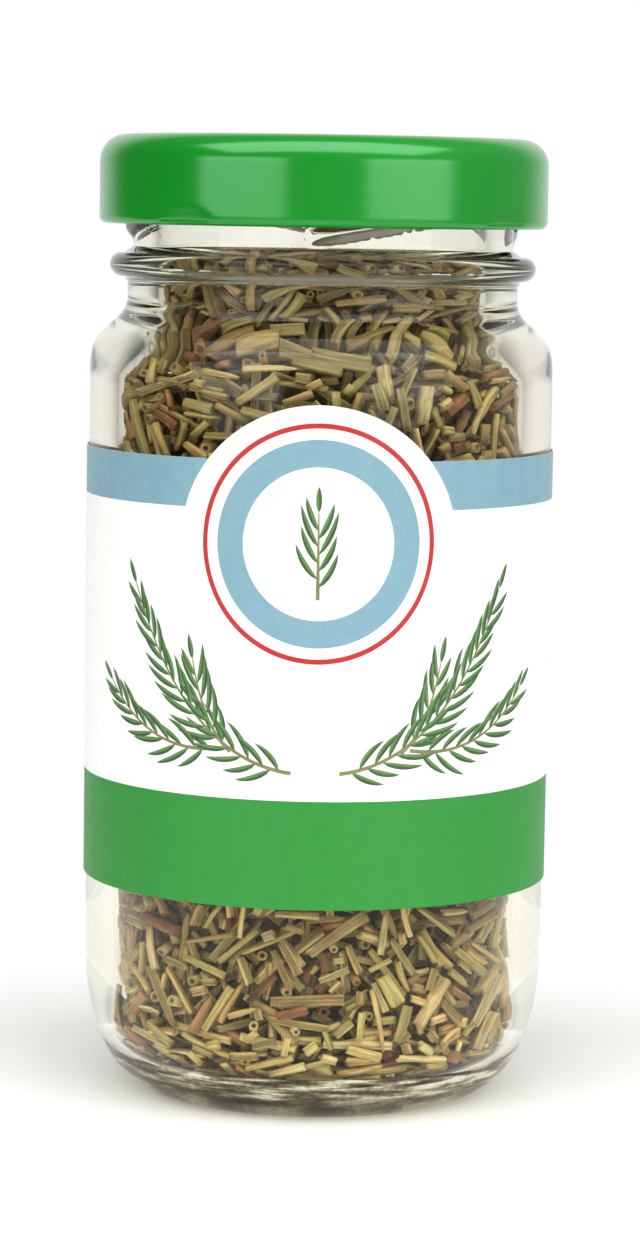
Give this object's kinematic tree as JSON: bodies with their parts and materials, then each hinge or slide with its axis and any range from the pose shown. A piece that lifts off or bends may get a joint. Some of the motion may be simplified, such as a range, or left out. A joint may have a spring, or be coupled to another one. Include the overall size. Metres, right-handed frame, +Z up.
{
  "type": "glass spice jar of dried rosemary",
  "caption": "Round glass spice jar with a rounded heel, paper wrap label and twist-off metal lid, filled with cut dried rosemary needles.",
  "frame": {"origin": "centre of the foot ring, on the surface the jar stands on", "axes": "+Z up along the jar's axis; the label's round tab faces -Y"},
  "size_m": [0.0486, 0.0485, 0.099],
  "materials": {
    "clear_glass": "polished",
    "dried_leaf": "matte",
    "label_paper": "satin",
    "green_enamel": "gloss",
    "sealing_compound": "matte"
  },
  "bodies": {
    "jar": {"glass_jar": "clear_glass", "label": "label_paper", "dried_rosemary": "dried_leaf"},
    "seal": {"lid_gasket": "sealing_compound"},
    "lid": {"lid": "green_enamel"}
  },
  "joints": [
    {"name": "lid_rise", "type": "slide", "parent": "jar", "child": "seal", "axis": [0, 0, 1], "range_m": [0, 0.0029]},
    {"name": "lid_twist", "type": "hinge", "parent": "seal", "child": "lid", "pos_m": [0, 0, 0.0945], "axis": [0, 0, 1], "range_deg": [0, 45]}
  ],
  "couplings": [
    {"joint": "lid_rise", "follows": "lid_twist", "m_per_rad": 0.0036}
  ]
}
